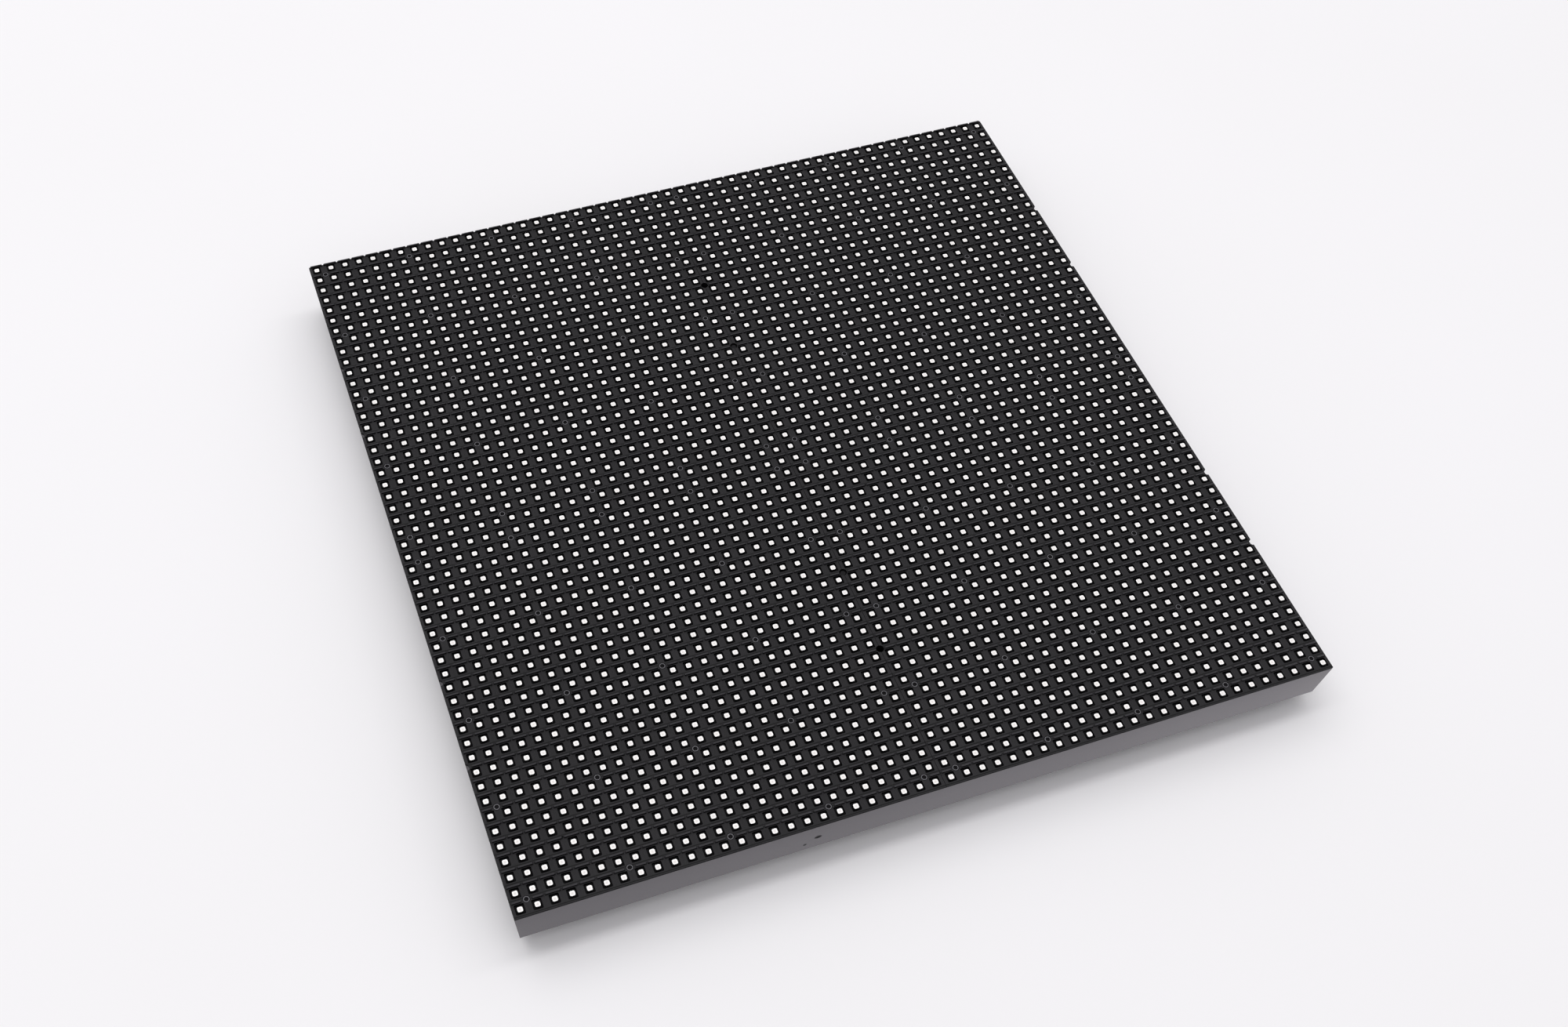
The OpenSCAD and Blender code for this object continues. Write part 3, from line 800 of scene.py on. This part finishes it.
shell_plastic, tree, surface, place = new_finish("polycarbonate_grey_satin_moulded")
axes = add(tree, "ShaderNodeSeparateXYZ", {"Vector": place})
grain = add(tree, "ShaderNodeTexNoise",
            {"Vector": place, "Scale": 1 / shell_grain, "Detail": 3.0, "Roughness": 0.6})
patches = add(tree, "ShaderNodeTexNoise", {"Vector": place, "Scale": 1 / shell_patch, "Detail": 2.0})
tint = add(tree, "ShaderNodeValToRGB", {"Fac": patches.outputs["Fac"]})
tint.color_ramp.elements[0].position = 0.3
tint.color_ramp.elements[0].color = linear("#5a585b")
tint.color_ramp.elements[1].position = 0.7
tint.color_ramp.elements[1].color = linear("#5e5c5f")
# painted light: the walls get lighter towards the rear edge, as if lit from the floor
painted_light_by_height = add(tree, "ShaderNodeMapRange",
             {"Value": axes.outputs["Z"], "From Min": rear_z, "From Max": rim_z,
              "To Min": 1.0, "To Max": 0.0})
tint_with_painted_light = add(tree, "ShaderNodeMix", {MIX_FACTOR: painted_light_by_height.outputs[0], MIX_FROM: tint.outputs["Color"],
                                   MIX_TO: linear("#676568")}, data_type="RGBA")
rough = add(tree, "ShaderNodeMapRange", {"Value": grain.outputs["Fac"], "To Min": 0.45, "To Max": 0.6})
tree.links.new(rough.outputs[0], surface.inputs["Roughness"])
surface.inputs["IOR"].default_value = polycarbonate_ior
surface.inputs["Specular IOR Level"].default_value = 0.06
print("finish:", shell_plastic.name)

# %% Dips behind the bosses
boss_step = screw_spacing * pitch
dip_floor_r, dip_r = 1.2 * MM, 3.0 * MM

off_boss = {}
for axis in ("X", "Y"):
    out = add(tree, "ShaderNodeMath", {0: axes.outputs[axis]}, operation="ABSOLUTE")
    steps = add(tree, "ShaderNodeMath",
                {0: out.outputs[0], 1: 1 / boss_step, 2: -first_screw / screw_spacing},
                operation="MULTIPLY_ADD")
    off_step = add(tree, "ShaderNodeMath", {0: steps.outputs[0], 1: 0.5}, operation="PINGPONG")
    off_boss[axis] = off_step.outputs[0]
off = add(tree, "ShaderNodeCombineXYZ", off_boss)
spread = add(tree, "ShaderNodeVectorMath", {0: off.outputs[0]}, operation="LENGTH")
dip = add(tree, "ShaderNodeMapRange",
          {"Value": spread.outputs["Value"], "From Min": dip_floor_r / boss_step,
           "From Max": dip_r / boss_step}, interpolation_type="SMOOTHSTEP")
sunk = add(tree, "ShaderNodeBump", {"Height": dip.outputs[0], "Strength": 0.6, "Distance": 0.1 * MM})
bump = add(tree, "ShaderNodeBump", {"Height": grain.outputs["Fac"], "Strength": 0.15, "Distance": 0.04 * MM,
                                    "Normal": sunk.outputs["Normal"]})
tree.links.new(bump.outputs["Normal"], surface.inputs["Normal"])
print("bosses in mm apart:", round(boss_step / MM, 2))

# %% Painted shade and marks on the shell
shade_paint_z = board_z - 0.02 * MM
mark_core, mark_edge = 0.75, 1.05
# middle and radii in mm, and colour
marks = (((-37.6, -124.2, 11.7), (1.2, 3.0, 1.0), "#121113"),
         ((-41.2, -123.9, 8.7), (0.6, 3.0, 0.7), "#2b2a2c"))

# painted shade: above this height, the rim under the mask and the tips of the seam pegs are near black
above = add(tree, "ShaderNodeMath", {0: axes.outputs["Z"], 1: shade_paint_z}, operation="GREATER_THAN")
rim_painted_shade = add(tree, "ShaderNodeMix", {MIX_FACTOR: above.outputs[0], MIX_FROM: tint_with_painted_light.outputs[MIX_RESULT],
                                    MIX_TO: linear("#1f1e20")}, data_type="RGBA")
colour = rim_painted_shade.outputs[MIX_RESULT]
for middle, radii, stain in marks:
    away = add(tree, "ShaderNodeVectorMath", {0: place, 1: [c * MM for c in middle]}, operation="SUBTRACT")
    scaled = add(tree, "ShaderNodeVectorMath", {0: away.outputs[0], 1: [1 / (r * MM) for r in radii]},
                 operation="MULTIPLY")
    spread = add(tree, "ShaderNodeVectorMath", {0: scaled.outputs[0]}, operation="LENGTH")
    spot = add(tree, "ShaderNodeMapRange",
               {"Value": spread.outputs["Value"], "From Min": mark_core, "From Max": mark_edge,
                "To Min": 1.0, "To Max": 0.0})
    mark = add(tree, "ShaderNodeMix", {MIX_FACTOR: spot.outputs[0], MIX_FROM: colour, MIX_TO: linear(stain)},
               data_type="RGBA")
    colour = mark.outputs[MIX_RESULT]
tree.links.new(colour, surface.inputs["Base Color"])


def dress(names, finish):
    """Gives these solids a finish."""
    for name in names:
        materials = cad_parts[name].data.materials
        materials.clear()
        materials.append(finish)
    print("finish:", finish.name, "on", ", ".join(names))


dress(["bottom_shell"], shell_plastic)
dress(["lamp_board"], lamp_dark)

# %% [markdown]
# ## Threaded inserts
#
# Eight brass inserts in the rear face take the screws of the cabinet. Each is turned from bar, with a
# chamfered mouth and a cut thread. The solid has a plain bore at the thread's crests. Here half of the
# cross-section is drawn as one closed line and spun round, so the thread is real geometry. It is drawn as
# rings, because at a pitch of 0.7 mm the slope of a helix doesn't show. Turning leaves fine rings round
# each insert's own axis, and the finish finds that axis as the shell's finish found the bosses. The rings
# are really 0.05 mm apart and are drawn at 0.3 mm.

# %% Brass finish
insert_x, insert_y, insert_step = 22 * pitch, 4 * pitch, 18 * pitch
ring_step, brass_stain = 0.3 * MM, 1.5 * MM

turned_brass, tree, surface, place = new_finish("brass_turned")
axes = add(tree, "ShaderNodeSeparateXYZ", {"Vector": place})
out_x = add(tree, "ShaderNodeMath", {0: axes.outputs["X"]}, operation="ABSOLUTE")
off_x = add(tree, "ShaderNodeMath", {0: out_x.outputs[0], 1: insert_x}, operation="SUBTRACT")
out_y = add(tree, "ShaderNodeMath", {0: axes.outputs["Y"]}, operation="ABSOLUTE")
past_y = add(tree, "ShaderNodeMath", {0: out_y.outputs[0], 1: insert_y}, operation="SUBTRACT")
off_y = add(tree, "ShaderNodeMath", {0: past_y.outputs[0], 1: insert_step / 2}, operation="PINGPONG")
off = add(tree, "ShaderNodeCombineXYZ", {"X": off_x.outputs[0], "Y": off_y.outputs[0]})
radius = add(tree, "ShaderNodeVectorMath", {0: off.outputs[0]}, operation="LENGTH")
turns = add(tree, "ShaderNodeMath", {0: radius.outputs["Value"], 1: math.tau / ring_step},
            operation="MULTIPLY")
rings = add(tree, "ShaderNodeMath", {0: turns.outputs[0]}, operation="SINE")
stain = add(tree, "ShaderNodeTexNoise", {"Vector": place, "Scale": 1 / brass_stain, "Detail": 2.0})
tint = add(tree, "ShaderNodeValToRGB", {"Fac": stain.outputs["Fac"]})
tint.color_ramp.elements[0].color = linear("#a9843f")
tint.color_ramp.elements[1].color = linear("#c8a55f")
rough = add(tree, "ShaderNodeMapRange", {"Value": stain.outputs["Fac"], "To Min": 0.2, "To Max": 0.4})
bump = add(tree, "ShaderNodeBump", {"Height": rings.outputs[0], "Strength": 0.2, "Distance": 0.01 * MM})
tree.links.new(tint.outputs["Color"], surface.inputs["Base Color"])
tree.links.new(rough.outputs[0], surface.inputs["Roughness"])
tree.links.new(bump.outputs["Normal"], surface.inputs["Normal"])
surface.inputs["Metallic"].default_value = 1.0
print("finish:", turned_brass.name)

# %% Spun inserts
insert_low, insert_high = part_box("threaded_inserts")
insert_r, crest_r, root_r = 3.0 * MM, 1.65 * MM, 2.0 * MM
half_turn = 0.7 * MM / 2
half_turns = int((insert_high.z - insert_low.z) / half_turn)
section = [(root_r, insert_low.z), (insert_r, insert_low.z), (insert_r, insert_high.z)]
section += [(root_r if k % 2 else crest_r, insert_high.z - k * half_turn) for k in range(half_turns)]
section.append((crest_r, insert_low.z + (root_r - crest_r)))

inserts = bmesh.new()
outline = [inserts.verts.new((r, 0, z)) for r, z in section]
for start, end in zip(outline, outline[1:] + outline[:1]):
    inserts.edges.new((start, end))
bmesh.ops.spin(inserts, geom=inserts.verts[:] + inserts.edges[:], cent=(0, 0, 0), axis=(0, 0, 1),
               angle=math.tau, steps=32, use_merge=True)
bmesh.ops.recalc_face_normals(inserts, faces=inserts.faces[:])
insert_rows = (-insert_y - insert_step, -insert_y, insert_y, insert_y + insert_step)
repeat_at(inserts, [Matrix.Translation((x, y, 0)) for x in (-insert_x, insert_x) for y in insert_rows])
keep(inserts, "threaded_insert_set", [turned_brass], ["threaded_inserts"], crease=35)

# %% [markdown]
# ## Connectors, seal and packages
#
# The other nodes keep their solids, and each gets the finish of what it is made of. They differ only in
# colour, in the size and stretch of their grain and in how smooth and how metallic they are, so one loop
# makes them from a list. The grain is stretched along Z where wire or a can was drawn through a die in
# that direction.

# %% Finishes of the rear fittings
# name, dark and light tint, grain in mm and its scale along Z, range of roughness, metallic, depth of the
# grain, and the nodes that have this finish
fittings = (
    # extruded silicone looks dull and a little dusty, with no clear highlight
    ("silicone_grey_extruded", "#46494d", "#55585c", 0.6, 1.0, (0.7, 0.88), 0.0, 0.3,
     ["rear_seal"]),
    # glass-filled polyester is black with a faint satin, and its fibres show as a fine grain
    ("polybutylene_black_moulded", "#101011", "#181819", 0.4, 1.0, (0.42, 0.6), 0.0, 0.2,
     ["data_in_header", "data_out_header"]),
    # a thin gold layer on drawn wire is warm and clear, with faint streaks along the pin
    ("brass_gold_plated_drawn", "#c19d4a", "#d3b36b", 0.2, 0.1, (0.18, 0.34), 1.0, 0.1,
     ["data_in_pins", "data_out_pins"]),
    # natural polyamide is creamy and slightly cloudy, with a soft highlight
    ("polyamide_natural_moulded", "#dcd7c6", "#e9e5d9", 2.0, 1.0, (0.38, 0.52), 0.0, 0.1,
     ["power_header"]),
    # tin is a pale cool grey, with a softer mirror than gold
    ("brass_tin_plated_drawn", "#b7b7b7", "#cbcbca", 0.3, 0.1, (0.28, 0.45), 1.0, 0.1,
     ["power_pins"]),
    # moulded epoxy with much filler is black and quite matt, with pale specks too small to tell apart
    ("epoxy_black_transfer_moulded", "#121213", "#1c1c1d", 0.3, 1.0, (0.52, 0.7), 0.0, 0.2,
     ["column_drivers", "row_switches", "signal_buffers", "bulk_capacitor_bases"]),
    # sintered ceramic is an even tan with a dry surface
    ("ceramic_tan_sintered", "#836d4c", "#98815e", 0.4, 1.0, (0.5, 0.65), 0.0, 0.15,
     ["bypass_capacitors"]),
    # a drawn can is bright, with fine lines from the die along its wall
    ("aluminium_drawn", "#aeb0b4", "#c4c6ca", 0.25, 0.05, (0.25, 0.42), 1.0, 0.15,
     ["bulk_capacitors"]),
    # glaze over a printed film is black and glossy
    ("alumina_black_glazed", "#161618", "#212124", 0.6, 1.0, (0.12, 0.25), 0.0, 0.1,
     ["resistor_arrays"]),
)
for name, dark, light, grain_mm, stretch, (smoothest, roughest), metal, depth, nodes in fittings:
    finish, tree, surface, place = new_finish(name)
    drawn = add(tree, "ShaderNodeVectorMath", {0: place, 1: (1, 1, stretch)}, operation="MULTIPLY")
    grain = add(tree, "ShaderNodeTexNoise",
                {"Vector": drawn.outputs[0], "Scale": 1 / (grain_mm * MM), "Detail": 3.0})
    tint = add(tree, "ShaderNodeValToRGB", {"Fac": grain.outputs["Fac"]})
    tint.color_ramp.elements[0].position = 0.3
    tint.color_ramp.elements[0].color = linear(dark)
    tint.color_ramp.elements[1].position = 0.7
    tint.color_ramp.elements[1].color = linear(light)
    rough = add(tree, "ShaderNodeMapRange",
                {"Value": grain.outputs["Fac"], "To Min": smoothest, "To Max": roughest})
    bump = add(tree, "ShaderNodeBump",
               {"Height": grain.outputs["Fac"], "Strength": depth, "Distance": 0.05 * MM})
    tree.links.new(tint.outputs["Color"], surface.inputs["Base Color"])
    tree.links.new(rough.outputs[0], surface.inputs["Roughness"])
    tree.links.new(bump.outputs["Normal"], surface.inputs["Normal"])
    surface.inputs["Metallic"].default_value = metal
    dress(nodes, finish)

# %% [markdown]
# ## Update of the scene
#
# The last cell brings the view layer up to date.

# %% Update the view layer
bpy.context.view_layer.update()
